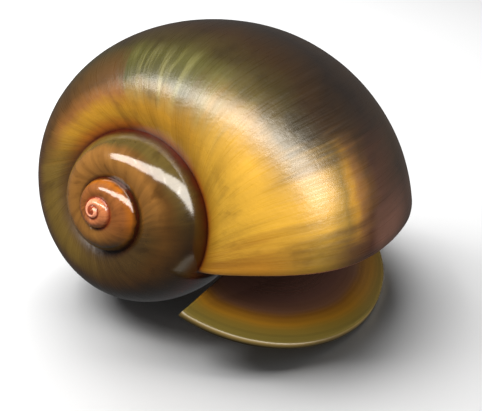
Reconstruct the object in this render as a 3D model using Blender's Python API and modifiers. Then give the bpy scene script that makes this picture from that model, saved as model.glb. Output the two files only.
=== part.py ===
"""Apple snail shell with its horny operculum standing ajar in the mouth.

Metres, +Z up. The origin is on the surface that the shell rests on, under the
middle of the object. Two pieces: the shell, one hollow coil of rounded whorls
with an open mouth, and the operculum, the thin plate that closes the mouth.
"""

import math

import bpy
import numpy as np

# The whorl's section at the mouth, in the shell's own frame: apex at the origin,
# +Z along the axis towards the apex. The section is an oval that leans a little,
# taller above its widest level than below it.
SECTION_HALF_WIDTH = 0.0142
SECTION_UPPER_HEIGHT = 0.0249
SECTION_LOWER_HEIGHT = 0.0160
SECTION_FROM_AXIS = 0.0146
SECTION_BELOW_APEX = 0.0315
SECTION_LEAN = math.radians(-2.9)

# How the tube coils: every turn is this much larger than the one before.
GROWTH_PER_TURN = 2.42
TURNS = 4.2
BASE_NARROWING = 3.56           # share of the width lost per metre below the apex

# The mouth's edge lags behind a straight radial cut, in radians, at these arc
# angles round the section from the suture. The other values follow from the coil.
LIP_LAG_NEAR_SUTURE = (0.5, -0.335)
LIP_LAG_BELOW_WIDEST = (2.5, -0.642)
LIP_LEAD_AT_COLUMELLA = -0.15

# The wall, its thin lip, the glaze on the whorl inside the mouth and the hollow.
WALL = 0.0012
LIP_WALL = 0.00055
GLAZE = 0.00025
WALL_THINS_OVER = 0.4           # radians behind the lip
HOLLOW_TURNS = 1.3
HOLLOW_MIDDLE = (0.0170, -0.0291)
LIP_ROUNDING = 0.45
APEX_RISE = 0.00017

# The mesh: rows per turn, the rows by which the lip lags, and columns from the
# suture to the next suture, to the navel and up the columella.
ROWS_PER_TURN = 42
LAG_ROWS = 3
COLUMNS_TO_SUTURE = 7
COLUMNS_TO_NAVEL = 19
COLUMNS_IN_ALL = 24

# The operculum: a D-shaped plate, domed away from the shell.
PLATE_HALF_LENGTH = 0.0202
PLATE_OUTER_WIDTH = 0.0150
PLATE_INNER_WIDTH = 0.0010
PLATE_TAPER = 0.057
PLATE_DOME_AT = 0.0045          # the dome's highest point, towards the outer side
PLATE_DOME = 0.0011
PLATE_THICKNESS = 0.0007
PLATE_SIDES = 48
PLATE_RINGS = 6

# Where the pieces are while the shell rests: apex and tilt, plate middle and tilt.
APEX_AT = (-0.01478, -0.01402, 0.01601)
SHELL_TURN = (77.07, 29.43, -39.61)
PLATE_AT = (0.00489, -0.00003, 0.00495)
PLATE_TURN = (-164.30, 4.44, 61.39)

SHELL_COLOUR = (0.42, 0.24, 0.05, 1.0)
PLATE_COLOUR = (0.36, 0.22, 0.05, 1.0)

GROWTH_RATE = math.log(GROWTH_PER_TURN) / (2 * math.pi)
ROW_STEP = 2 * math.pi / ROWS_PER_TURN


def clear_scene():
    for old in list(bpy.data.objects):
        bpy.data.objects.remove(old, do_unlink=True)


def make_material(name, colour, roughness):
    material = bpy.data.materials.new(name)
    material.use_nodes = True
    shader = material.node_tree.nodes["Principled BSDF"]
    shader.inputs["Base Color"].default_value = colour
    shader.inputs["Roughness"].default_value = roughness
    shader.inputs["Metallic"].default_value = 0.0
    return material


# The section and the coil

def section(angle):
    """Points of the mouth's section, as distance from the axis and height."""
    across = SECTION_HALF_WIDTH * np.cos(angle)
    rise = np.sin(angle)
    along = np.where(rise > 0, SECTION_UPPER_HEIGHT, SECTION_LOWER_HEIGHT) * rise
    lean_cos = math.cos(SECTION_LEAN)
    lean_sin = math.sin(SECTION_LEAN)
    from_axis = SECTION_FROM_AXIS + lean_cos * across - lean_sin * along
    height = -SECTION_BELOW_APEX + lean_sin * across + lean_cos * along
    return np.stack([from_axis, height], -1)


def outside_section(point, scale):
    """Above zero where the point is outside the section of a turn of that scale."""
    offset = point / scale - np.array([SECTION_FROM_AXIS, -SECTION_BELOW_APEX])
    lean_cos = math.cos(SECTION_LEAN)
    lean_sin = math.sin(SECTION_LEAN)
    across = lean_cos * offset[0] + lean_sin * offset[1]
    along = lean_cos * offset[1] - lean_sin * offset[0]
    half_height = SECTION_UPPER_HEIGHT if along > 0 else SECTION_LOWER_HEIGHT
    return (across / SECTION_HALF_WIDTH) ** 2 + (along / half_height) ** 2 - 1


def crossing(scale, low, high):
    """The section's angle, between low and high, where it meets a turn of that scale."""
    sign_low = outside_section(section(low), scale) > 0
    for _ in range(50):
        middle = (low + high) / 2
        if (outside_section(section(middle), scale) > 0) == sign_low:
            low = middle
        else:
            high = middle
    return (low + high) / 2


def coil(points, turn):
    """Section points carried to an angle of growth: 0 is the mouth, -2 pi a turn before."""
    grown = np.exp(GROWTH_RATE * turn)
    from_axis = grown * points[..., 0]
    height = grown * points[..., 1]
    spread = 1 + BASE_NARROWING * height
    x = from_axis * np.cos(turn) * spread
    y = -from_axis * np.sin(turn) * spread
    return np.stack([x, y, height], -1)


def lip_lag(arc, arc_suture, arc_navel, arc_end):
    """The lag of the growth lines at an arc angle from the suture."""
    lag_suture = -LAG_ROWS * ROW_STEP
    known = [
        (0.0, 0.0),
        LIP_LAG_NEAR_SUTURE,
        (arc_suture, lag_suture),
        LIP_LAG_BELOW_WIDEST,
        (arc_navel, LIP_LEAD_AT_COLUMELLA),
        (arc_end, LIP_LEAD_AT_COLUMELLA - lag_suture),
    ]
    arcs, lags = zip(*known)
    return np.polyval(np.polyfit(arcs, lags, len(known) - 1), arc)


# The shell's mesh

class Loft:
    """Vertices and faces of one closed surface, as they are added."""

    def __init__(self):
        self.points = []
        self.faces = []

    def add(self, point):
        self.points.append(tuple(point))
        return len(self.points) - 1

    def strip(self, first, second):
        """Quads between two rows of the same length."""
        for a, b, c, d in zip(first, first[1:], second[1:], second):
            self.faces.append((d, c, b, a))

    def band(self, first, second):
        """Quads between two closed loops."""
        self.strip(first + first[:1], second + second[:1])

    def cap(self, loop, rise=0.0):
        """A fan over a closed loop, its middle raised towards the apex."""
        middle = np.mean([self.points[i] for i in loop], axis=0)
        middle[2] += rise
        centre = self.add(middle)
        for a, b in zip(loop, loop[1:] + loop[:1]):
            self.faces.append((a, b, centre))


def loft_shell():
    """The outside, the hollow and the lip between them, as one closed surface."""
    suture = crossing(1 / GROWTH_PER_TURN, 1.2, 2.2)
    next_suture = crossing(GROWTH_PER_TURN, 0.0, 1.2)
    navel = crossing(GROWTH_PER_TURN, -1.5, -3.0)
    columella_top = crossing(1 / GROWTH_PER_TURN, 2.2, 3.0) - 2 * math.pi
    arc_suture = suture - next_suture
    arc_navel = suture - navel
    arc_end = suture - columella_top

    arcs = np.concatenate([
        np.linspace(0, arc_suture, COLUMNS_TO_SUTURE + 1),
        np.linspace(arc_suture, arc_navel, COLUMNS_TO_NAVEL - COLUMNS_TO_SUTURE + 1)[1:],
        np.linspace(arc_navel, arc_end, COLUMNS_IN_ALL - COLUMNS_TO_NAVEL + 1)[1:],
    ])
    lags = lip_lag(arcs, arc_suture, arc_navel, arc_end)
    outline = section(suture - arcs)

    loft = Loft()
    first_row = -round(TURNS * ROWS_PER_TURN)
    inner_row = LAG_ROWS - ROWS_PER_TURN      # the row that the mouth's edge closes on
    vertex = {}
    for row in range(first_row, 1):
        columns = COLUMNS_TO_SUTURE if row < inner_row else COLUMNS_IN_ALL + 1
        for column in range(columns):
            if row == inner_row and column in (COLUMNS_TO_SUTURE, COLUMNS_TO_NAVEL):
                continue
            place = coil(outline[column], ROW_STEP * row + lags[column])
            vertex[row, column] = loft.add(place)
    for row in range(first_row, inner_row + 1):
        vertex[row, COLUMNS_TO_SUTURE] = vertex[row - inner_row, 0]
    vertex[inner_row, COLUMNS_TO_NAVEL] = vertex[0, COLUMNS_IN_ALL]

    for row in range(first_row, 0):
        last = COLUMNS_TO_SUTURE if row < inner_row else COLUMNS_IN_ALL
        here = [vertex[row, column] for column in range(last + 1)]
        ahead = [vertex[row + 1, column] for column in range(last + 1)]
        loft.strip(here, ahead)

    apex = [vertex[first_row, column] for column in range(COLUMNS_TO_SUTURE)]
    apex += [vertex[row, 0] for row in range(first_row - inner_row, first_row, -1)]
    loft.cap(apex, APEX_RISE)
    umbilicus = [vertex[inner_row, c] for c in range(COLUMNS_TO_NAVEL, COLUMNS_IN_ALL)]
    umbilicus += [vertex[row, COLUMNS_IN_ALL] for row in range(inner_row, 0)]
    loft.cap(umbilicus)

    # The mouth's edge: along the lip, then back over the whorl inside the mouth.
    over_whorl = range(COLUMNS_TO_NAVEL, COLUMNS_TO_SUTURE, -1)
    edge = [vertex[0, column] for column in range(COLUMNS_IN_ALL)]
    edge += [vertex[inner_row, column] for column in over_whorl]
    edge_outline = np.concatenate([
        outline[:COLUMNS_IN_ALL],
        outline[over_whorl] / GROWTH_PER_TURN,
    ])
    edge_lags = np.concatenate([
        lags[:COLUMNS_IN_ALL],
        lags[over_whorl] + LAG_ROWS * ROW_STEP,
    ])
    inward = np.array(HOLLOW_MIDDLE) - edge_outline
    inward /= np.linalg.norm(inward, axis=1)[:, None]
    on_lip = np.arange(len(edge)) < COLUMNS_IN_ALL
    on_lip[0] = False

    def hollow_outline(turn):
        grown = min(1.0, -turn / WALL_THINS_OVER)
        grown = grown * grown * (3 - 2 * grown)
        wall = np.where(on_lip, LIP_WALL + (WALL - LIP_WALL) * grown, GLAZE)
        return edge_outline + inward * wall[:, None]

    hollow = []
    for row in range(-round(HOLLOW_TURNS * ROWS_PER_TURN), 1):
        turn = ROW_STEP * row
        places = coil(hollow_outline(turn), turn + edge_lags)
        hollow.append([loft.add(place) for place in places])
    for here, ahead in zip(hollow, hollow[1:]):
        loft.band(ahead, here)
    loft.cap(hollow[0][::-1])

    outer = coil(edge_outline, edge_lags)
    inner = coil(hollow_outline(0.0), edge_lags)
    middle = (edge_outline + hollow_outline(0.0)) / 2
    forward = coil(middle, edge_lags + ROW_STEP) - coil(middle, edge_lags)
    forward /= np.linalg.norm(forward, axis=1)[:, None]
    bulge = LIP_ROUNDING * np.linalg.norm(outer - inner, axis=1)
    rim = (outer + inner) / 2 + forward * bulge[:, None]
    rim = [loft.add(place) for place in rim]
    loft.band(edge, rim)
    loft.band(rim, hollow[-1])
    return loft


# The operculum's mesh

def plate_outline(angle):
    """The D-shaped edge: a long bow outwards and a nearly straight inner side."""
    outer = PLATE_OUTER_WIDTH * (1 - PLATE_TAPER * math.cos(angle))
    inner = PLATE_INNER_WIDTH * (1.1 + math.cos(angle))
    width = outer if math.sin(angle) > 0 else inner
    return PLATE_HALF_LENGTH * math.cos(angle), width * math.sin(angle)


def loft_plate():
    """The plate's inner face, domed, as rings round its middle."""
    loft = Loft()
    centre = loft.add((0.0, PLATE_DOME_AT, PLATE_DOME))
    rings = []
    for number in range(1, PLATE_RINGS + 1):
        share = number / PLATE_RINGS
        ring = []
        for side in range(PLATE_SIDES):
            x, y = plate_outline(2 * math.pi * side / PLATE_SIDES)
            height = PLATE_DOME * (1 - share ** 2)
            across = PLATE_DOME_AT + (y - PLATE_DOME_AT) * share
            ring.append(loft.add((x * share, across, height)))
        rings.append(ring)
    for a, b in zip(rings[0], rings[0][1:] + rings[0][:1]):
        loft.faces.append((a, b, centre))
    for inner, outer in zip(rings, rings[1:]):
        loft.band(inner, outer)
    return loft


def make_object(name, loft, material, place, turn, collection):
    mesh = bpy.data.meshes.new(name)
    mesh.from_pydata(loft.points, [], loft.faces)
    mesh.materials.append(material)
    mesh.update()
    mesh.shade_smooth()
    obj = bpy.data.objects.new(name, mesh)
    obj.location = place
    obj.rotation_euler = [math.radians(angle) for angle in turn]
    collection.objects.link(obj)
    return obj


def build():
    clear_scene()
    collection = bpy.data.collections.new("apple_snail_shell")
    bpy.context.scene.collection.children.link(collection)
    shell_material = make_material("glossy_shell", SHELL_COLOUR, 0.25)
    plate_material = make_material("horn", PLATE_COLOUR, 0.35)
    make_object("shell", loft_shell(), shell_material, APEX_AT, SHELL_TURN, collection)
    plate = make_object(
        "operculum", loft_plate(), plate_material, PLATE_AT, PLATE_TURN, collection
    )
    solidify = plate.modifiers.new("thickness", "SOLIDIFY")
    solidify.thickness = PLATE_THICKNESS
    solidify.offset = 1.0


build()
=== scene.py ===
# Apple snail shell lying on its mouth, its horny operculum ajar under the lip.
# Metres, in the same frame as the CAD model.
import math

import bpy
import numpy as np
from mathutils import Matrix, Vector


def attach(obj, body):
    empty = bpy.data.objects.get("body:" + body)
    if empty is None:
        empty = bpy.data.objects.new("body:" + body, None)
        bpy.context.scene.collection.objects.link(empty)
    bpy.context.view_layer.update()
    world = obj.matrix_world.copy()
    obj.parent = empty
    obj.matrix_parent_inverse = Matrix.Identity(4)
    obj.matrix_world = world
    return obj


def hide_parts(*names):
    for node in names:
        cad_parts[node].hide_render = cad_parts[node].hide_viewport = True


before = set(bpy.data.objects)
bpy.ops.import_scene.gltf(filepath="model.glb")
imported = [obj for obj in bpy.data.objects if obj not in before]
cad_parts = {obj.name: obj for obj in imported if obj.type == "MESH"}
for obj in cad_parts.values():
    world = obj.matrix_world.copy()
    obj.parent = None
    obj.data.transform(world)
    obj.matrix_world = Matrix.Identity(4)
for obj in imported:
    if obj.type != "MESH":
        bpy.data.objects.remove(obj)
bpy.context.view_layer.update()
print("stage: frame loaded")


def hexColour(code, alpha=1.0):  # sRGB hex to the linear colour that Blender works in
    channels = [int(code[i:i + 2], 16) / 255 for i in (1, 3, 5)]
    linear = [c / 12.92 if c <= 0.04045 else ((c + 0.055) / 1.055) ** 2.4 for c in channels]
    return (*linear, alpha)


def addNode(tree, kind, inputs=None, stops=None, **settings):
    made = tree.nodes.new(kind)
    for name, value in settings.items():
        setattr(made, name, value)
    for key, value in (inputs or {}).items():
        if isinstance(value, bpy.types.Node):
            value = value.outputs[0]
        if isinstance(value, bpy.types.NodeSocket):
            tree.links.new(value, made.inputs[key])
        else:
            made.inputs[key].default_value = value
    if stops:  # a colour ramp's places and colours
        ramp = made.color_ramp
        while len(ramp.elements) < len(stops):
            ramp.elements.new(0.5)
        for element, (place, colour) in zip(ramp.elements, stops):
            element.position = place
            element.color = hexColour(colour)
    return made


# The shell: an oval section that grows along a coil. The mesh is made unwound, with
# x the distance from the axis, y the angle of growth and z the height, all at the
# mouth's size, and the node tree winds it up.
shellForm = {
    "halfWidth": 0.0142,
    "upperHeight": 0.0249,
    "lowerHeight": 0.0160,
    "fromAxis": 0.0146,
    "belowApex": 0.0315,
    "lean": -2.9,             # degrees
    "growthPerTurn": 2.42,
    "baseNarrowing": 3.56,    # share of the width lost per metre below the apex
    "turns": 4.2,
    "lagNearSuture": (0.5, -0.335),      # arc from the suture, lag of the lip, in radians
    "lagBelowWidest": (2.5, -0.642),
    "leadAtColumella": -0.15,
    "wall": 0.0012,
    "lipWall": 0.00055,
    "glaze": 0.00025,
    "wallThinsOver": 0.4,     # radians behind the lip
    "lipRounding": ((0.3, 0.12), (0.55, 0.18), (0.85, 0.12)),  # shares of the wall, inwards and ahead
    "climbPerRadian": 0.14,
    "hollowTurns": 1.3,
    "hollowMiddle": (0.0170, -0.0291),
    "rowsPerTurn": 168,
    "lagRows": 12,
    "columns": (28, 76, 96),  # to the next suture, the navel and the columella's top
    "apexRise": 0.00017,
    "apexPlace": (-0.01478, -0.01402, 0.01601),
    "restTurn": (77.07, 29.43, -39.61),  # degrees
    "inset": 0.00006,         # keeps the smooth skin inside the faceted model
    "growthRelief": 0.00004,
    "growthFolds": 46.0,      # folds per turn
    "foldCrest": 0.75,        # near the noise's highest value, so that folds sink in
    "seed": 7.0,
}


def section(form, angle):
    lean = math.radians(form["lean"])
    rise = np.sin(angle)
    across = form["halfWidth"] * np.cos(angle)
    along = np.where(rise > 0, form["upperHeight"], form["lowerHeight"]) * rise
    fromAxis = form["fromAxis"] + math.cos(lean) * across - math.sin(lean) * along
    height = -form["belowApex"] + math.sin(lean) * across + math.cos(lean) * along
    return np.stack([fromAxis, height], -1)


def meetsTurn(form, scale, low, high):  # the section's angle where it meets that turn
    lean = math.radians(form["lean"])

    def outside(angle):
        offset = section(form, angle) / scale - np.array([form["fromAxis"], -form["belowApex"]])
        across = math.cos(lean) * offset[0] + math.sin(lean) * offset[1]
        along = math.cos(lean) * offset[1] - math.sin(lean) * offset[0]
        halfHeight = form["upperHeight"] if along > 0 else form["lowerHeight"]
        return (across / form["halfWidth"]) ** 2 + (along / halfHeight) ** 2 > 1

    lowOutside = outside(low)
    for _ in range(50):
        middle = (low + high) / 2
        if outside(middle) == lowOutside:
            low = middle
        else:
            high = middle
    return (low + high) / 2


def wound(form, points):  # the same winding as the node tree's, for a fan's middle
    fromAxis, turn, height = np.moveaxis(np.asarray(points), -1, 0)
    grown = form["growthPerTurn"] ** (turn / (2 * math.pi))
    reach = fromAxis * grown * (1 + form["baseNarrowing"] * height * grown)
    return np.stack([reach * np.cos(turn), -reach * np.sin(turn), height * grown], -1)


def unwound(form, place):
    turn = -math.atan2(place[1], place[0])
    grown = form["growthPerTurn"] ** (turn / (2 * math.pi))
    reach = math.hypot(place[0], place[1]) / (1 + form["baseNarrowing"] * place[2])
    return (reach / grown, turn, place[2] / grown)


class Sheet:  # faces of one closed surface, each corner with its own map place
    def __init__(self):
        self.points = []
        self.turns = []
        self.faces = []
        self.corners = []
        self.inside = []

    def add(self, point, turn):
        self.points.append(tuple(float(value) for value in point))
        self.turns.append(turn)
        return len(self.points) - 1

    def face(self, knots, inside):  # a knot is (point, place along the coil, place across)
        self.faces.append([knot[0] for knot in knots])
        self.corners.extend((knot[1], knot[2]) for knot in knots)
        self.inside.append(inside)

    def strip(self, first, second, inside=0):
        for a, b, c, d in zip(first, first[1:], second[1:], second):
            self.face((d, c, b, a), inside)

    def band(self, first, second, inside=0):
        self.strip(first + first[:1], second + second[:1], inside)

    def fan(self, loop, middle, inside=0):
        for a, b in zip(loop, loop[1:] + loop[:1]):
            self.face((a, b, middle), inside)


def makeUnwoundShell(form):
    growth = form["growthPerTurn"]
    suture = meetsTurn(form, 1 / growth, 1.2, 2.2)
    nextSuture = meetsTurn(form, growth, 0.0, 1.2)
    navel = meetsTurn(form, growth, -1.5, -3.0)
    columellaTop = meetsTurn(form, 1 / growth, 2.2, 3.0) - 2 * math.pi
    arcSuture = suture - nextSuture
    arcNavel = suture - navel
    arcEnd = suture - columellaTop
    rows = form["rowsPerTurn"]
    step = 2 * math.pi / rows
    toSuture, toNavel, last = form["columns"]
    arcs = np.concatenate([
        np.linspace(0, arcSuture, toSuture + 1),
        np.linspace(arcSuture, arcNavel, toNavel - toSuture + 1)[1:],
        np.linspace(arcNavel, arcEnd, last - toNavel + 1)[1:],
    ])
    sutureLag = -form["lagRows"] * step
    known = [
        (0.0, 0.0),
        form["lagNearSuture"],
        (arcSuture, sutureLag),
        form["lagBelowWidest"],
        (arcNavel, form["leadAtColumella"]),
        (arcEnd, form["leadAtColumella"] - sutureLag),
    ]
    knownArcs, knownLags = zip(*known)
    lags = np.polyval(np.polyfit(knownArcs, knownLags, len(known) - 1), arcs)
    outline = section(form, suture - arcs)
    across = arcs / arcEnd
    firstRow = -round(form["turns"] * rows)
    innerRow = form["lagRows"] - rows  # the row that the mouth's edge closes on

    def along(row):
        return 1 - row / firstRow

    sheet = Sheet()
    spot = {}
    for row in range(firstRow, 1):
        for column in range(toSuture if row < innerRow else last + 1):
            if row == innerRow and column in (toSuture, toNavel):
                continue
            point = (outline[column, 0], step * row + lags[column], outline[column, 1])
            spot[row, column] = sheet.add(point, row / rows)
    for row in range(firstRow, innerRow + 1):
        spot[row, toSuture] = spot[row - innerRow, 0]
    spot[innerRow, toNavel] = spot[0, last]

    def knots(row, columns):
        return [(spot[row, c], along(row), across[c]) for c in columns]

    for row in range(firstRow, 0):
        columns = range((toSuture if row < innerRow else last) + 1)
        sheet.strip(knots(row, columns), knots(row + 1, columns))

    def middlePlace(loop):
        return np.mean(wound(form, [sheet.points[knot[0]] for knot in loop]), axis=0)

    apex = knots(firstRow, range(toSuture))
    apex += [(spot[row, 0], along(row), 0.0) for row in range(firstRow - innerRow, firstRow, -1)]
    place = middlePlace(apex) + np.array([0, 0, form["apexRise"]])
    sheet.fan(apex, (sheet.add(unwound(form, place), 0.0), 0.0, 0.0))
    umbilicus = knots(innerRow, range(toNavel, last))
    umbilicus += [(spot[row, last], along(row), 1.0) for row in range(innerRow, 0)]
    place = middlePlace(umbilicus)
    sheet.fan(umbilicus, (sheet.add(unwound(form, place), 0.0), 0.9, 1.0))

    skinPoints = len(sheet.points)

    # The mouth's edge: along the lip, then back over the whorl inside the mouth.
    overWhorl = range(toNavel, toSuture, -1)
    edge = knots(0, range(last)) + knots(innerRow, overWhorl)
    edgeOutline = np.concatenate([outline[:last], outline[overWhorl] / growth])
    edgeLags = np.concatenate([lags[:last], lags[overWhorl] - sutureLag])
    edgeAcross = [knot[2] for knot in edge]
    inward = np.array(form["hollowMiddle"]) - edgeOutline
    inward /= np.linalg.norm(inward, axis=1)[:, None]
    onLip = np.arange(len(edge)) < last
    onLip[0] = False

    def hollowRing(turn, share=1.0, ahead=0.0):  # share of the wall, and how far ahead of it
        grown = min(1.0, -turn / form["wallThinsOver"])
        grown = grown * grown * (3 - 2 * grown)
        wall = np.where(onLip, form["lipWall"] + (form["wall"] - form["lipWall"]) * grown, form["glaze"])
        ring = edgeOutline + inward * wall[:, None] * share
        angles = turn + edgeLags + ahead * wall / np.hypot(ring[:, 0], form["climbPerRadian"] * ring[:, 1])
        points = np.stack([ring[:, 0], angles, ring[:, 1]], -1)
        mapRow = 1 + turn / (2 * math.pi * form["turns"])
        return [(sheet.add(p, turn / (2 * math.pi)), mapRow, v) for p, v in zip(points, edgeAcross)]

    hollow = [hollowRing(step * row) for row in range(-round(form["hollowTurns"] * rows), 1)]
    for here, ahead in zip(hollow, hollow[1:]):
        sheet.band(ahead, here, inside=1)
    end = np.mean([sheet.points[knot[0]] for knot in hollow[0]], axis=0)
    sheet.fan(hollow[0][::-1], (sheet.add(end, 0.0), 0.7, 0.5), inside=1)

    # The lip's thin edge, rounded forwards.
    rings = [edge]
    rings += [hollowRing(0.0, share, ahead) for share, ahead in form["lipRounding"]]
    for outer, inner in zip(rings, rings[1:]):
        sheet.band(outer, inner, inside=2)
    sheet.band(rings[-1], hollow[-1], inside=2)

    mesh = bpy.data.meshes.new("unwoundShell")
    mesh.from_pydata(sheet.points, [], sheet.faces)
    mesh.uv_layers.new(name="growthMap").data.foreach_set("uv", np.ravel(sheet.corners))
    mesh.attributes.new("turnNumber", "FLOAT", "POINT").data.foreach_set("value", sheet.turns)
    mesh.attributes.new("region", "INT", "FACE").data.foreach_set("value", sheet.inside)
    outerSkin = [number < skinPoints for number in range(len(sheet.points))]
    mesh.attributes.new("outerSkin", "BOOLEAN", "POINT").data.foreach_set("value", outerSkin)
    onSuture = {spot[row, 0] for row in range(firstRow, 1)}
    creases = [all(v in onSuture for v in seam.vertices) for seam in mesh.edges]
    mesh.attributes.new("sharp_edge", "BOOLEAN", "EDGE").data.foreach_set("value", creases)
    mesh.shade_smooth()
    return mesh


def makeCoilTree(name):  # winds the unwound mesh up and lays it down in its resting place
    tree = bpy.data.node_groups.new(name, "GeometryNodeTree")
    sockets = {
        "Growth Per Turn": "NodeSocketFloat",
        "Base Narrowing": "NodeSocketFloat",
        "Apex Place": "NodeSocketVector",
        "Resting Turn": "NodeSocketVector",
        "Inset": "NodeSocketFloat",
        "Growth Relief": "NodeSocketFloat",
        "Growth Folds": "NodeSocketFloat",
        "Fold Crest": "NodeSocketFloat",
        "Relief Seed": "NodeSocketFloat",
        "Outer Material": "NodeSocketMaterial",
        "Inner Material": "NodeSocketMaterial",
        "Lip Material": "NodeSocketMaterial",
    }
    tree.interface.new_socket("Geometry", in_out="INPUT", socket_type="NodeSocketGeometry")
    for label, kind in sockets.items():
        tree.interface.new_socket(label, in_out="INPUT", socket_type=kind)
    tree.interface.new_socket("Geometry", in_out="OUTPUT", socket_type="NodeSocketGeometry")

    entry = addNode(tree, "NodeGroupInput").outputs
    position = addNode(tree, "GeometryNodeInputPosition")
    fromAxis, turn, height = addNode(tree, "ShaderNodeSeparateXYZ", {0: position}).outputs
    turns = addNode(tree, "ShaderNodeMath", {0: turn, 1: 2 * math.pi}, operation="DIVIDE")
    grown = addNode(tree, "ShaderNodeMath", {0: entry["Growth Per Turn"], 1: turns}, operation="POWER")
    rise = addNode(tree, "ShaderNodeMath", {0: height, 1: grown}, operation="MULTIPLY")
    narrowed = addNode(tree, "ShaderNodeMath", {0: entry["Base Narrowing"], 1: rise, 2: 1.0},
                       operation="MULTIPLY_ADD")
    wide = addNode(tree, "ShaderNodeMath", {0: fromAxis, 1: grown}, operation="MULTIPLY")
    reach = addNode(tree, "ShaderNodeMath", {0: wide, 1: narrowed}, operation="MULTIPLY")
    back = addNode(tree, "ShaderNodeMath", {0: reach, 1: -1.0}, operation="MULTIPLY")
    cosine = addNode(tree, "ShaderNodeMath", {0: turn}, operation="COSINE")
    sine = addNode(tree, "ShaderNodeMath", {0: turn}, operation="SINE")
    x = addNode(tree, "ShaderNodeMath", {0: reach, 1: cosine}, operation="MULTIPLY")
    y = addNode(tree, "ShaderNodeMath", {0: back, 1: sine}, operation="MULTIPLY")
    coiled = addNode(tree, "ShaderNodeCombineXYZ", {0: x, 1: y, 2: rise})
    laid = addNode(tree, "ShaderNodeVectorRotate", {"Vector": coiled, "Rotation": entry["Resting Turn"]},
                   rotation_type="EULER_XYZ")
    placed = addNode(tree, "ShaderNodeVectorMath", {0: laid, 1: entry["Apex Place"]})
    wind = addNode(tree, "GeometryNodeSetPosition", {"Geometry": entry["Geometry"], "Position": placed})

    # Low growth folds across the whorl, and the inset, both along the normal.
    turnNumber = addNode(tree, "GeometryNodeInputNamedAttribute", {"Name": "turnNumber"}, data_type="FLOAT")
    foldPlace = addNode(tree, "ShaderNodeMath", {
        0: turnNumber, 1: entry["Growth Folds"], 2: entry["Relief Seed"]}, operation="MULTIPLY_ADD")
    folds = addNode(tree, "ShaderNodeTexNoise", {
        "W": foldPlace, "Scale": 1.0, "Detail": 2.0, "Roughness": 0.55}, noise_dimensions="1D")
    below = addNode(tree, "ShaderNodeMath", {0: folds, 1: entry["Fold Crest"]}, operation="SUBTRACT")
    depth = addNode(tree, "ShaderNodeMath", {0: grown, 1: 1.0}, operation="MINIMUM")
    depth = addNode(tree, "ShaderNodeMath", {0: depth, 1: entry["Growth Relief"]}, operation="MULTIPLY")
    lift = addNode(tree, "ShaderNodeMath", {0: below, 1: depth}, operation="MULTIPLY")
    lift = addNode(tree, "ShaderNodeMath", {0: lift, 1: entry["Inset"]}, operation="SUBTRACT")
    normal = addNode(tree, "GeometryNodeInputNormal")
    shift = addNode(tree, "ShaderNodeVectorMath", {0: normal, "Scale": lift}, operation="SCALE")
    outerSkin = addNode(tree, "GeometryNodeInputNamedAttribute", {"Name": "outerSkin"}, data_type="BOOLEAN")
    relieve = addNode(tree, "GeometryNodeSetPosition", {
        "Geometry": wind, "Selection": outerSkin, "Offset": shift})
    region = addNode(tree, "GeometryNodeInputNamedAttribute", {"Name": "region"}, data_type="INT")
    realized = addNode(tree, "GeometryNodeRealizeInstances", {"Geometry": relieve})
    realized = addNode(tree, "GeometryNodeSetMaterial", {
        "Geometry": realized, "Material": entry["Outer Material"]})
    for label, number in (("Inner Material", 1), ("Lip Material", 2)):
        here = addNode(tree, "FunctionNodeCompare", {2: region, 3: number},
                       data_type="INT", operation="EQUAL")
        realized = addNode(tree, "GeometryNodeSetMaterial", {
            "Geometry": realized, "Selection": here, "Material": entry[label]})
    addNode(tree, "NodeGroupOutput", {"Geometry": realized})
    return tree


def applyTree(obj, tree, values):  # runs the tree once and keeps its result as a plain mesh
    modifier = obj.modifiers.new(tree.name, "NODES")
    modifier.node_group = tree
    for socket in tree.interface.items_tree:
        if socket.in_out == "INPUT" and socket.name in values:
            modifier[socket.identifier] = values[socket.name]
    bpy.context.view_layer.update()
    evaluated = obj.evaluated_get(bpy.context.evaluated_depsgraph_get())
    result = bpy.data.meshes.new_from_object(evaluated)
    obj.modifiers.remove(modifier)
    obj.data = result
    return obj


def newObject(name, mesh):
    obj = bpy.data.objects.new(name, mesh)
    bpy.context.scene.collection.objects.link(obj)
    return obj


# Materials

def newMaterial(name):
    material = bpy.data.materials.new(name)
    material.use_nodes = True
    tree = material.node_tree
    return material, tree, tree.nodes["Principled BSDF"]


skinColours = {
    # the deepest suture red is rust tone darkened with painted crease shade
    "sutureRustAndShade": "#481406", "rust": "#945410", "deepAmber": "#a2761e", "amber": "#b98f2d",
    "lipAmber": "#98691c", "ochre": "#8c6c2c", "yellowOlive": "#806420", "orangeBrown": "#7c5020",
    "goldOlive": "#604c1c", "paleOlive": "#423014", "greenOlive": "#3e3c16", "khaki": "#4c3f1c",
    # the pale line tone serves pale growth lines and painted highlight streaks
    "lineAndSheenColour": "#96925e", "whorlBrown": "#7c5526", "brown": "#4c3212", "darkBrown": "#271908",
    # the pink brown stands for a painted reflection by the lip's lower right end
    "redBrown": "#381b0a", "blackBrown": "#170e07", "purpleBrown": "#3c2417", "paintedPinkReflection": "#5a3c30",
    "orange": "#7e4c24", "peach": "#b06c44", "salmon": "#e69a7a", "brickRed": "#8c3c20",
    "deepOlive": "#30280f", "bandShade": "#8a7a5c", "fleckShade": "#6a4a1c",
}
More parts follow.
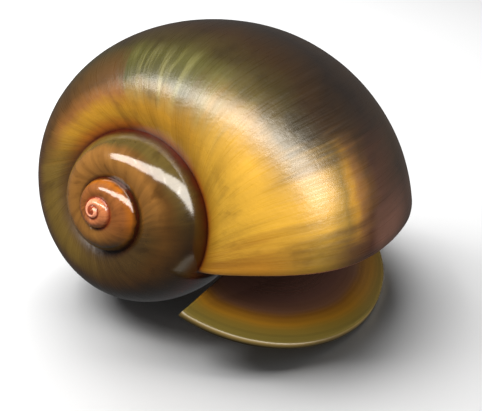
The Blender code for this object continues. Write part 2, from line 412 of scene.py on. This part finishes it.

# Colours run across the whorl, from the suture outwards, and change from the lip back to
# the apex. Each stage begins that many turns behind the lip; places across are shares of
# the way from the suture to the columella. At each suture the deepest red is rust tone
# darkened with painted crease shade.
shellFinish = {
    "stages": [
        {"begins": 0.0, "blends": 0.0, "across": [
            (0.0, "sutureRustAndShade"), (0.003, "rust"), (0.008, "lipAmber"), (0.10, "lipAmber"),
            # the pink brown here is a painted reflection at the lip's lower right end
            (0.18, "yellowOlive"), (0.22, "brown"), (0.255, "redBrown"), (0.275, "paintedPinkReflection"),
            (0.30, "paintedPinkReflection"), (0.34, "purpleBrown"), (0.55, "brown")]},
        {"begins": 0.03, "blends": 0.045, "across": [
            (0.0, "sutureRustAndShade"), (0.003, "rust"), (0.008, "deepAmber"), (0.03, "amber"), (0.19, "amber"),
            (0.215, "yellowOlive"), (0.228, "deepAmber"), (0.24, "whorlBrown"), (0.26, "brown"),
            (0.28, "purpleBrown"), (0.34, "darkBrown"), (0.55, "brown")]},
        {"begins": 0.08, "blends": 0.06, "across": [
            (0.0, "sutureRustAndShade"), (0.004, "rust"), (0.012, "deepAmber"), (0.04, "amber"), (0.10, "amber"),
            (0.13, "ochre"), (0.16, "khaki"), (0.195, "deepOlive"), (0.225, "darkBrown"),
            (0.30, "blackBrown"), (0.38, "darkBrown"), (0.55, "brown")]},
        {"begins": 0.17, "blends": 0.10, "across": [
            (0.0, "sutureRustAndShade"), (0.006, "rust"), (0.018, "deepAmber"), (0.05, "deepAmber"), (0.07, "ochre"),
            (0.10, "greenOlive"), (0.15, "greenOlive"), (0.19, "deepOlive"), (0.24, "darkBrown"),
            (0.30, "blackBrown"), (0.38, "darkBrown"), (0.55, "brown")]},
        {"begins": 0.30, "blends": 0.02, "across": [
            (0.0, "sutureRustAndShade"), (0.01, "rust"), (0.03, "deepAmber"), (0.045, "deepAmber"),
            (0.07, "orangeBrown"), (0.10, "brown"), (0.18, "deepOlive"), (0.24, "darkBrown"),
            (0.30, "blackBrown"), (0.38, "darkBrown"), (0.55, "brown")]},
        {"begins": 0.47, "blends": 0.12, "across": [
            (0.0, "redBrown"), (0.01, "brown"), (0.04, "goldOlive"), (0.075, "goldOlive"),
            (0.11, "brown"), (0.18, "brown"), (0.24, "darkBrown"), (0.30, "blackBrown"),
            (0.38, "darkBrown"), (0.55, "brown")]},
        {"begins": 0.75, "blends": 0.15, "across": [
            (0.0, "redBrown"), (0.02, "paleOlive"), (0.06, "paleOlive"), (0.11, "brown"),
            (0.19, "darkBrown"), (0.225, "redBrown"), (0.24, "sutureRustAndShade"), (0.30, "blackBrown"),
            (0.38, "darkBrown"), (0.55, "brown")]},
        {"begins": 1.05, "blends": 0.15, "across": [
            (0.0, "redBrown"), (0.01, "brown"), (0.03, "whorlBrown"), (0.09, "whorlBrown"), (0.13, "brown"),
            (0.165, "khaki"), (0.20, "khaki"), (0.225, "redBrown"), (0.24, "sutureRustAndShade"), (0.55, "brown")]},
        {"begins": 1.25, "blends": 0.2, "across": [
            (0.0, "redBrown"), (0.015, "whorlBrown"), (0.13, "whorlBrown"), (0.165, "khaki"),
            (0.20, "khaki"), (0.225, "redBrown"), (0.24, "sutureRustAndShade"), (0.55, "brown")]},
        {"begins": 1.9, "blends": 0.25, "across": [
            (0.0, "brickRed"), (0.02, "orange"), (0.14, "orange"), (0.19, "rust"), (0.225, "redBrown"),
            (0.24, "sutureRustAndShade")]},
        {"begins": 2.7, "blends": 0.2, "across": [
            (0.0, "brickRed"), (0.03, "peach"), (0.18, "peach"), (0.24, "brickRed")]},
        {"begins": 3.3, "blends": 0.4, "across": [
            (0.0, "brickRed"), (0.03, "salmon"), (0.18, "salmon"), (0.24, "brickRed")]},
    ],
    "turns": shellForm["turns"],
    "growthBands": (150, 3),     # about 3 mm apart along the last whorl
    "growthStreaks": (480, 7),   # about 1 mm
    "striae": (2400, 14),        # about 0.2 mm, coarse enough to show
    "flecks": (120, 12),         # about 4 by 8 mm
    # Where pale growth lines and painted highlight streaks show, in turns behind the lip and in places
    # across.
    "paleZone": [(0.14, "#000000"), (0.24, "#ffffff"), (0.29, "#ffffff"), (0.305, "#000000")],
    "paleBelt": [(0.05, "#000000"), (0.08, "#ffffff"), (0.12, "#ffffff"), (0.18, "#000000")],
    "lineAndSheenStrength": 0.32,
    "bandDarkening": 0.25,
    "streakShade": (0.90, 1.0),
    "fleckDarkening": 0.28,
    "roughness": (0.30, 0.45),
    "bumpDistance": 0.000008,
    "gloss": 1.0,
    "glossRoughness": (0.24, 0.38),
    "spireRoughness": 0.36,      # the older whorls' gloss, as a share of the last one's
    "dimples": 1400,             # about 0.7 mm apart, as knocks and wear leave them
    "dimpleDepth": 3.5,          # against the striae's height
    "streakHeight": 0.6,         # against the striae's height
    "noiseSpan": (0.3, 0.7),     # where most of a noise's values lie
    "stageWander": 0.012,        # turns, how ragged the change from stage to stage is
    "beltSway": 0.009,           # share across, how far the colour belts sway
    "straightBelts": 0.06,       # share across, over which the sway sets in beyond the suture
    "spireStarts": (0.7, 1.1),   # turns behind the lip
    "dimplesEnd": (0.5, 0.8),    # turns behind the lip
    "refraction": 1.54,
    "shineUnderGloss": 0.25,
}


def makeGlossySkin(settings):
    # Periostracum, the glossy horny skin over an aragonite shell, laid down at the lip in
    # fine growth lines: warm browns seen through a clear gloss that lines and dimples break up.
    material, tree, shader = newMaterial("glossyPeriostracum")
    uv = addNode(tree, "ShaderNodeUVMap", uv_map="growthMap")

    # Noise, drawn out across the whorl as growth lines are.
    patterns = []
    for setting, detail, shift in (("growthBands", 3.0, (0, 0, 0)), ("growthStreaks", 3.0, (3, 1, 0)),
                                   ("striae", 2.0, (7, 2, 0)), ("flecks", 4.0, (1, 5, 0))):
        mapped = addNode(tree, "ShaderNodeMapping", {
            "Vector": uv, "Location": shift, "Scale": (*settings[setting], 1)})
        patterns.append(addNode(tree, "ShaderNodeTexNoise", {
            "Vector": mapped, "Scale": 1.0, "Detail": detail, "Roughness": 0.55}))
    bands, streaks, striae, blotches = patterns

    along, across, _ = addNode(tree, "ShaderNodeSeparateXYZ", {0: uv}).outputs
    low, high = settings["noiseSpan"]
    turnsBehind = addNode(tree, "ShaderNodeMath", {0: along, 1: -settings["turns"], 2: settings["turns"]},
                          operation="MULTIPLY_ADD")
    wander = addNode(tree, "ShaderNodeMapRange", {
        "Value": streaks, "From Min": low, "From Max": high,
        "To Min": -settings["stageWander"], "To Max": settings["stageWander"]})
    turnsBehind = addNode(tree, "ShaderNodeMath", {0: turnsBehind, 1: wander})
    sway = addNode(tree, "ShaderNodeMapRange", {
        "Value": blotches, "From Min": low, "From Max": high,
        "To Min": -settings["beltSway"], "To Max": settings["beltSway"]})
    offSuture = addNode(tree, "ShaderNodeMapRange", {
        "Value": across, "From Max": settings["straightBelts"]}, interpolation_type="SMOOTHSTEP")
    swayed = addNode(tree, "ShaderNodeMath", {0: sway, 1: offSuture, 2: across}, operation="MULTIPLY_ADD")

    colour = None
    for stage in settings["stages"]:
        stops = [(place, skinColours[name]) for place, name in stage["across"]]
        ramp = addNode(tree, "ShaderNodeValToRGB", {0: swayed}, stops=stops)
        if colour is None:
            colour = ramp.outputs[0]
            continue
        nearer = stage["begins"] - stage["blends"] / 2
        reached = addNode(tree, "ShaderNodeMapRange", {
            "Value": turnsBehind, "From Min": nearer, "From Max": nearer + stage["blends"]},
            interpolation_type="SMOOTHSTEP")
        colour = addNode(tree, "ShaderNodeMix", {0: reached, 6: colour, 7: ramp}, data_type="RGBA").outputs[2]

    # Where the skin is olive, growth lines stand out paler, partly as painted highlight streaks.
    zone = addNode(tree, "ShaderNodeValToRGB", {0: turnsBehind}, stops=settings["paleZone"])
    offShoulder = addNode(tree, "ShaderNodeValToRGB", {0: across}, stops=settings["paleBelt"])
    lines = addNode(tree, "ShaderNodeMapRange", {
        "Value": streaks, "From Min": 0.42, "From Max": 0.68, "To Max": settings["lineAndSheenStrength"]},
        interpolation_type="SMOOTHSTEP")
    paler = addNode(tree, "ShaderNodeMath", {0: zone, 1: offShoulder}, operation="MULTIPLY")
    paler = addNode(tree, "ShaderNodeMath", {0: paler, 1: lines}, operation="MULTIPLY")
    colour = addNode(tree, "ShaderNodeMix", {0: paler, 6: colour, 7: hexColour(skinColours["lineAndSheenColour"])},
                     data_type="RGBA").outputs[2]

    # Growth lines darken and lighten the skin along the lip's old edges.
    darker = addNode(tree, "ShaderNodeMapRange", {
        "Value": bands, "From Min": 0.42, "From Max": 0.62, "To Max": settings["bandDarkening"]},
        interpolation_type="SMOOTHSTEP")
    colour = addNode(tree, "ShaderNodeMix", {0: darker, 6: colour, 7: hexColour(skinColours["bandShade"])},
                     data_type="RGBA", blend_type="MULTIPLY").outputs[2]
    dimmest, brightest = settings["streakShade"]
    fine = addNode(tree, "ShaderNodeMapRange", {
        "Value": streaks, "From Min": 0.35, "From Max": 0.65, "To Min": dimmest, "To Max": brightest})
    colour = addNode(tree, "ShaderNodeVectorMath", {0: colour, "Scale": fine}, operation="SCALE")
    flecks = addNode(tree, "ShaderNodeMapRange", {
        "Value": blotches, "From Min": 0.55, "From Max": 0.7, "To Max": settings["fleckDarkening"]},
        interpolation_type="SMOOTHSTEP")
    colour = addNode(tree, "ShaderNodeMix", {0: flecks, 6: colour, 7: hexColour(skinColours["fleckShade"])},
                     data_type="RGBA", blend_type="MULTIPLY").outputs[2]

    # Relief for the gloss: striae, streaks and, on the last whorl, dimples.
    height = addNode(tree, "ShaderNodeMath", {0: streaks, 1: settings["streakHeight"], 2: striae},
                     operation="MULTIPLY_ADD")
    begins, ends = settings["spireStarts"]
    smoother = addNode(tree, "ShaderNodeMapRange", {
        "Value": turnsBehind, "From Min": begins, "From Max": ends,
        "To Min": 1.0, "To Max": settings["spireRoughness"]})
    spot = addNode(tree, "ShaderNodeTexCoord").outputs["Object"]
    dimples = addNode(tree, "ShaderNodeTexNoise", {"Vector": spot, "Scale": settings["dimples"]})
    begins, ends = settings["dimplesEnd"]
    worn = addNode(tree, "ShaderNodeMapRange", {
        "Value": turnsBehind, "From Min": begins, "From Max": ends,
        "To Min": settings["dimpleDepth"], "To Max": 0.0})
    height = addNode(tree, "ShaderNodeMath", {0: dimples, 1: worn, 2: height}, operation="MULTIPLY_ADD")
    bump = addNode(tree, "ShaderNodeBump", {
        "Height": height, "Distance": settings["bumpDistance"], "Strength": smoother})
    for socket, setting in (("Roughness", "roughness"), ("Coat Roughness", "glossRoughness")):
        smoothest, roughest = settings[setting]
        rougher = addNode(tree, "ShaderNodeMapRange", {
            "Value": striae, "From Min": low, "From Max": high,
            "To Min": smoothest, "To Max": roughest})
        rougher = addNode(tree, "ShaderNodeMath", {0: rougher, 1: smoother}, operation="MULTIPLY")
        tree.links.new(rougher.outputs[0], shader.inputs[socket])
    tree.links.new(colour, shader.inputs["Base Color"])
    tree.links.new(bump.outputs[0], shader.inputs["Normal"])
    tree.links.new(bump.outputs[0], shader.inputs["Coat Normal"])
    shader.inputs["IOR"].default_value = settings["refraction"]
    shader.inputs["Specular IOR Level"].default_value = settings["shineUnderGloss"]
    shader.inputs["Coat Weight"].default_value = settings["gloss"]
    return material


glazeFinish = {
    "stops": [(0.35, "#3c2c28"), (0.55, "#5c4842"), (0.7, "#7c6660")],
    "clouds": (60, 14),       # about 8 by 7 mm
    "ripple": 0.0002,
    "roughness": 0.14,
    "refraction": 1.54,
}


def makeInnerGlaze(settings):
    # The mouth's inner glaze: smooth porcelain-like aragonite, stained dark purplish brown.
    material, tree, shader = newMaterial("darkInnerGlaze")
    uv = addNode(tree, "ShaderNodeUVMap", uv_map="growthMap")
    mapped = addNode(tree, "ShaderNodeMapping", {"Vector": uv, "Scale": (*settings["clouds"], 1)})
    cloud = addNode(tree, "ShaderNodeTexNoise", {"Vector": mapped, "Scale": 1.0, "Detail": 4.0})
    colour = addNode(tree, "ShaderNodeValToRGB", {0: cloud}, stops=settings["stops"])
    bump = addNode(tree, "ShaderNodeBump", {"Height": cloud, "Distance": settings["ripple"]})
    tree.links.new(colour.outputs[0], shader.inputs["Base Color"])
    tree.links.new(bump.outputs[0], shader.inputs["Normal"])
    shader.inputs["Roughness"].default_value = settings["roughness"]
    shader.inputs["IOR"].default_value = settings["refraction"]
    return material


lipFinish = {
    "stops": [(0.0, "#8a5a2c"), (0.04, "#b88c54"), (0.13, "#a8744c"), (0.18, "#9a5c50"),
              (0.26, "#6c4034"), (0.4, "#54382c")],  # from the suture outwards
    "roughness": 0.3,
    "refraction": 1.54,
}


def makeLipEdge(settings):
    # Fresh aragonite at the growing edge, not yet covered: a thin line, paler than the skin.
    material, tree, shader = newMaterial("paleLipEdge")
    uv = addNode(tree, "ShaderNodeUVMap", uv_map="growthMap")
    across = addNode(tree, "ShaderNodeSeparateXYZ", {0: uv}).outputs[1]
    colour = addNode(tree, "ShaderNodeValToRGB", {0: across}, stops=settings["stops"])
    tree.links.new(colour.outputs[0], shader.inputs["Base Color"])
    shader.inputs["Roughness"].default_value = settings["roughness"]
    shader.inputs["IOR"].default_value = settings["refraction"]
    return material


hornFinish = {
    "outside": {
        "stops": [(0.0, "#4a3416"), (0.6, "#5c441c"), (0.9, "#604c22"), (1.0, "#564824")],
        "roughness": 0.38, "ringStrength": 1.0, "ringShade": 0.2},
    "inside": {
        "stops": [(0.0, "#2c1c18"), (0.60, "#46302a"), (0.72, "#4c3426"), (0.78, "#583a12"),
                  (0.86, "#644610"), (0.93, "#544418"), (1.0, "#4c421c")],
        "roughness": 0.2, "ringStrength": 0.15, "ringShade": 0.07},
    "rings": 34.0,            # growth rings from the middle to the rim, about 0.5 mm apart
    "ringDepth": 0.00006,
    "clouds": 7.0,            # along the plate, about 6 mm apart
    "sway": 0.07,             # share of the way to the rim
    "refraction": 1.55,
}


def makeHorn(name, settings, side):
    # Conchiolin, the horn that the operculum is laid down in, ring after ring: amber brown,
    # satin outside and smooth inside, with the dark scar where it was held.
    material, tree, shader = newMaterial(name)
    share = addNode(tree, "ShaderNodeAttribute", attribute_name="ringShare").outputs["Fac"]
    place = addNode(tree, "ShaderNodeUVMap", uv_map="plateMap")
    cloud = addNode(tree, "ShaderNodeTexNoise", {
        "Vector": place, "Scale": settings["clouds"], "Detail": 4.0})
    swayed = addNode(tree, "ShaderNodeMath", {0: cloud, 1: settings["sway"], 2: share},
                     operation="MULTIPLY_ADD")
    centred = addNode(tree, "ShaderNodeMath", {0: swayed, 1: settings["sway"] / 2},
                      operation="SUBTRACT")
    colour = addNode(tree, "ShaderNodeValToRGB", {0: centred}, stops=side["stops"])
    ringPlace = addNode(tree, "ShaderNodeMath", {0: share, 1: settings["rings"]},
                        operation="MULTIPLY")
    rings = addNode(tree, "ShaderNodeTexNoise", {"W": ringPlace, "Scale": 1.0, "Detail": 2.0},
                    noise_dimensions="1D")
    shade = addNode(tree, "ShaderNodeMapRange", {
        "Value": rings, "From Min": 0.3, "From Max": 0.7,
        "To Min": 1 - side["ringShade"], "To Max": 1 + side["ringShade"]})
    shaded = addNode(tree, "ShaderNodeVectorMath", {0: colour, "Scale": shade}, operation="SCALE")
    bump = addNode(tree, "ShaderNodeBump", {
        "Height": rings, "Distance": settings["ringDepth"], "Strength": side["ringStrength"]})
    tree.links.new(shaded.outputs[0], shader.inputs["Base Color"])
    tree.links.new(bump.outputs[0], shader.inputs["Normal"])
    shader.inputs["Roughness"].default_value = side["roughness"]
    shader.inputs["IOR"].default_value = settings["refraction"]
    return material


print("stage: materials")

shell = newObject("appleSnailShell", makeUnwoundShell(shellForm))
applyTree(shell, makeCoilTree("windShell"), {
    "Growth Per Turn": shellForm["growthPerTurn"],
    "Base Narrowing": shellForm["baseNarrowing"],
    "Apex Place": shellForm["apexPlace"],
    "Resting Turn": [math.radians(angle) for angle in shellForm["restTurn"]],
    "Inset": shellForm["inset"],
    "Growth Relief": shellForm["growthRelief"],
    "Growth Folds": shellForm["growthFolds"],
    "Fold Crest": shellForm["foldCrest"],
    "Relief Seed": shellForm["seed"],
    "Outer Material": makeGlossySkin(shellFinish),
    "Inner Material": makeInnerGlaze(glazeFinish),
    "Lip Material": makeLipEdge(lipFinish),
})
print("stage: shell wound,", len(shell.data.polygons), "faces")


# The operculum: a D-shaped plate of horn, domed away from the shell.
plateForm = {
    "halfLength": 0.02015,
    "outerWidth": 0.01495,
    "innerWidth": 0.0010,
    "taper": 0.057,
    "domeAt": 0.0045,
    "dome": 0.0011,
    "thickness": 0.0007,
    "ringsAt": 0.06,          # where the rings' middle lies on the inner side, in half lengths
    "sides": 192,
    "rings": 28,
    "place": (0.00489, -0.00003, 0.00495),
    "turn": (-164.30, 4.44, 61.39),  # degrees
}


def makePlate(form):
    points = [(0.0, form["domeAt"], form["dome"])]
    shares = [math.hypot(form["ringsAt"], form["domeAt"] / form["outerWidth"])]
    faces = []
    sides = form["sides"]
    for number in range(1, form["rings"] + 1):
        share = number / form["rings"]
        for side in range(sides):
            angle = 2 * math.pi * side / sides
            outer = form["outerWidth"] * (1 - form["taper"] * math.cos(angle))
            inner = form["innerWidth"] * (1.1 + math.cos(angle))
            width = outer if math.sin(angle) > 0 else inner
            x = form["halfLength"] * math.cos(angle) * share
            y = form["domeAt"] + (width * math.sin(angle) - form["domeAt"]) * share
            points.append((x, y, form["dome"] * (1 - share ** 2)))
            shares.append(math.hypot(x / form["halfLength"] - form["ringsAt"], y / form["outerWidth"]))
    for number in range(form["rings"]):
        for side in range(sides):
            following = (side + 1) % sides
            outerRing = 1 + number * sides
            if number == 0:
                faces.append((outerRing + side, outerRing + following, 0))
                continue
            innerRing = outerRing - sides
            faces.append((outerRing + side, outerRing + following, innerRing + following, innerRing + side))
    mesh = bpy.data.meshes.new("operculumPlate")
    mesh.from_pydata(points, [], faces)
    mesh.attributes.new("ringShare", "FLOAT", "POINT").data.foreach_set("value", shares)
    plateMap = mesh.uv_layers.new(name="plateMap")
    for loop in mesh.loops:
        x, y, _ = points[loop.vertex_index]
        plateMap.data[loop.index].uv = (0.5 + x / form["halfLength"] / 2, 0.5 + y / form["halfLength"] / 2)
    mesh.shade_smooth()
    return mesh


def settle(obj, place, turn):  # puts the place and the turn into the mesh
    obj.location = place
    obj.rotation_euler = [math.radians(angle) for angle in turn]
    bpy.context.view_layer.update()
    evaluated = obj.evaluated_get(bpy.context.evaluated_depsgraph_get())
    mesh = bpy.data.meshes.new_from_object(evaluated)
    mesh.transform(obj.matrix_world)
    obj.modifiers.clear()
    obj.data = mesh
    obj.location = (0, 0, 0)
    obj.rotation_euler = (0, 0, 0)
    bpy.context.view_layer.update()


operculum = newObject("hornOperculum", makePlate(plateForm))
for horn, side in (("ringedOuterHorn", "outside"), ("scarredInnerHorn", "inside")):
    operculum.data.materials.append(makeHorn(horn, hornFinish, hornFinish[side]))
solid = operculum.modifiers.new("thickness", "SOLIDIFY")
solid.thickness = plateForm["thickness"]
solid.offset = 1.0
solid.material_offset = 1
solid.material_offset_rim = 0
settle(operculum, plateForm["place"], plateForm["turn"])
print("stage: operculum")

# Floor, camera and light
roomSet = {
    "floorHalf": 1.5,
    "floorColour": "#f2f2f2",
    "floorRoughness": 0.9,
    "cameraPlace": (-0.001057, -0.096204, 0.059843),
    "cameraTurn": (62.717, -2.750, 0.0),
    "lens": 66.709,
    "sensorWidth": 36.0,
    "clipStart": 0.001,
    "worldStrength": 0.09,
    "lightTarget": (0, 0, 0.015),
    "distance": 0.25,
    "frontArc": [(-74, 32), (-44, 48), (-8, 56), (28, 53), (54, 36), (68, 8)],  # azimuth, elevation
    "arcWidth": 0.09,
    "arcOverlap": 1.04,       # each part's length against the gap that it spans
    "arcPower": 34,           # watts per square metre
    "arcColour": "#fff8ee",
    "floorBoxes": [
        {"name": "overhead", "azimuth": 195, "elevation": 62, "size": 0.19, "power": 0.62},
        {"name": "leftHigh", "azimuth": 262, "elevation": 50, "size": 0.15, "power": 0.50},
    ],
}

floorMesh = bpy.data.meshes.new("paleFloor")
half = roomSet["floorHalf"]
floorCorners = [(-half, -half, 0), (half, -half, 0), (half, half, 0), (-half, half, 0)]
floorMesh.from_pydata(floorCorners, [], [(0, 1, 2, 3)])
floor = newObject("paleFloor", floorMesh)
floorMaterial, floorTree, floorShader = newMaterial("matteWhiteCard")
floorShader.inputs["Base Color"].default_value = hexColour(roomSet["floorColour"])
floorShader.inputs["Roughness"].default_value = roomSet["floorRoughness"]
floorMesh.materials.append(floorMaterial)
floor.visible_glossy = False  # a dark room's look, with no pale floor in the gloss
floor.visible_diffuse = False

cameraData = bpy.data.cameras.new("camera")
cameraData.lens = roomSet["lens"]
cameraData.sensor_width = roomSet["sensorWidth"]
cameraData.clip_start = roomSet["clipStart"]
camera = bpy.data.objects.new("camera", cameraData)
camera.location = roomSet["cameraPlace"]
camera.rotation_euler = [math.radians(angle) for angle in roomSet["cameraTurn"]]
bpy.context.scene.collection.objects.link(camera)
bpy.context.scene.camera = camera

bpy.context.scene.view_settings.view_transform = "Standard"

world = bpy.data.worlds.new("studio")
world.use_nodes = True
world.node_tree.nodes["Background"].inputs["Color"].default_value = (1, 1, 1, 1)
world.node_tree.nodes["Background"].inputs["Strength"].default_value = roomSet["worldStrength"]
bpy.context.scene.world = world

litPieces = bpy.data.collections.new("litPieces")  # the front arc lights only these
for piece in (shell, operculum):
    litPieces.objects.link(piece)


def lightPlace(azimuth, elevation):  # azimuth 0 is on the camera's side and 90 on the right
    a, e = math.radians(azimuth), math.radians(elevation)
    away = Vector((math.sin(a) * math.cos(e), -math.cos(a) * math.cos(e), math.sin(e)))
    return Vector(roomSet["lightTarget"]) + roomSet["distance"] * away


def addSoftbox(name, place, sideways, size, power, colour="#ffffff"):
    outward = (place - Vector(roomSet["lightTarget"])).normalized()
    sideways = (sideways - outward * sideways.dot(outward)).normalized()
    lamp = bpy.data.lights.new(name, "AREA")
    lamp.shape = "RECTANGLE"
    lamp.size, lamp.size_y = size
    lamp.energy = power
    lamp.color = hexColour(colour)[:3]
    obj = bpy.data.objects.new(name, lamp)
    obj.location = place
    obj.rotation_euler = Matrix((sideways, outward.cross(sideways), outward)).transposed().to_euler()
    bpy.context.scene.collection.objects.link(obj)
    return obj


# One arched softbox in front lights the pieces and gives the long highlight, and two high
# boxes, which the gloss doesn't mirror, light the floor and give the shadow.
corners = [lightPlace(azimuth, elevation) for azimuth, elevation in roomSet["frontArc"]]
for number, (start, end) in enumerate(zip(corners, corners[1:])):
    size = ((end - start).length * roomSet["arcOverlap"], roomSet["arcWidth"])
    part = addSoftbox(f"frontArc{number}", (start + end) / 2, end - start, size,
                      size[0] * size[1] * roomSet["arcPower"], roomSet["arcColour"])
    part.light_linking.receiver_collection = litPieces
for box in roomSet["floorBoxes"]:
    lit = addSoftbox(box["name"], lightPlace(box["azimuth"], box["elevation"]), Vector((1, 0, 0)),
                     (box["size"], box["size"]), box["power"])
    lit.visible_glossy = False
print("stage: room")

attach(shell, "root")
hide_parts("shell")
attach(operculum, "root")
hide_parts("operculum")

print("stage: done")
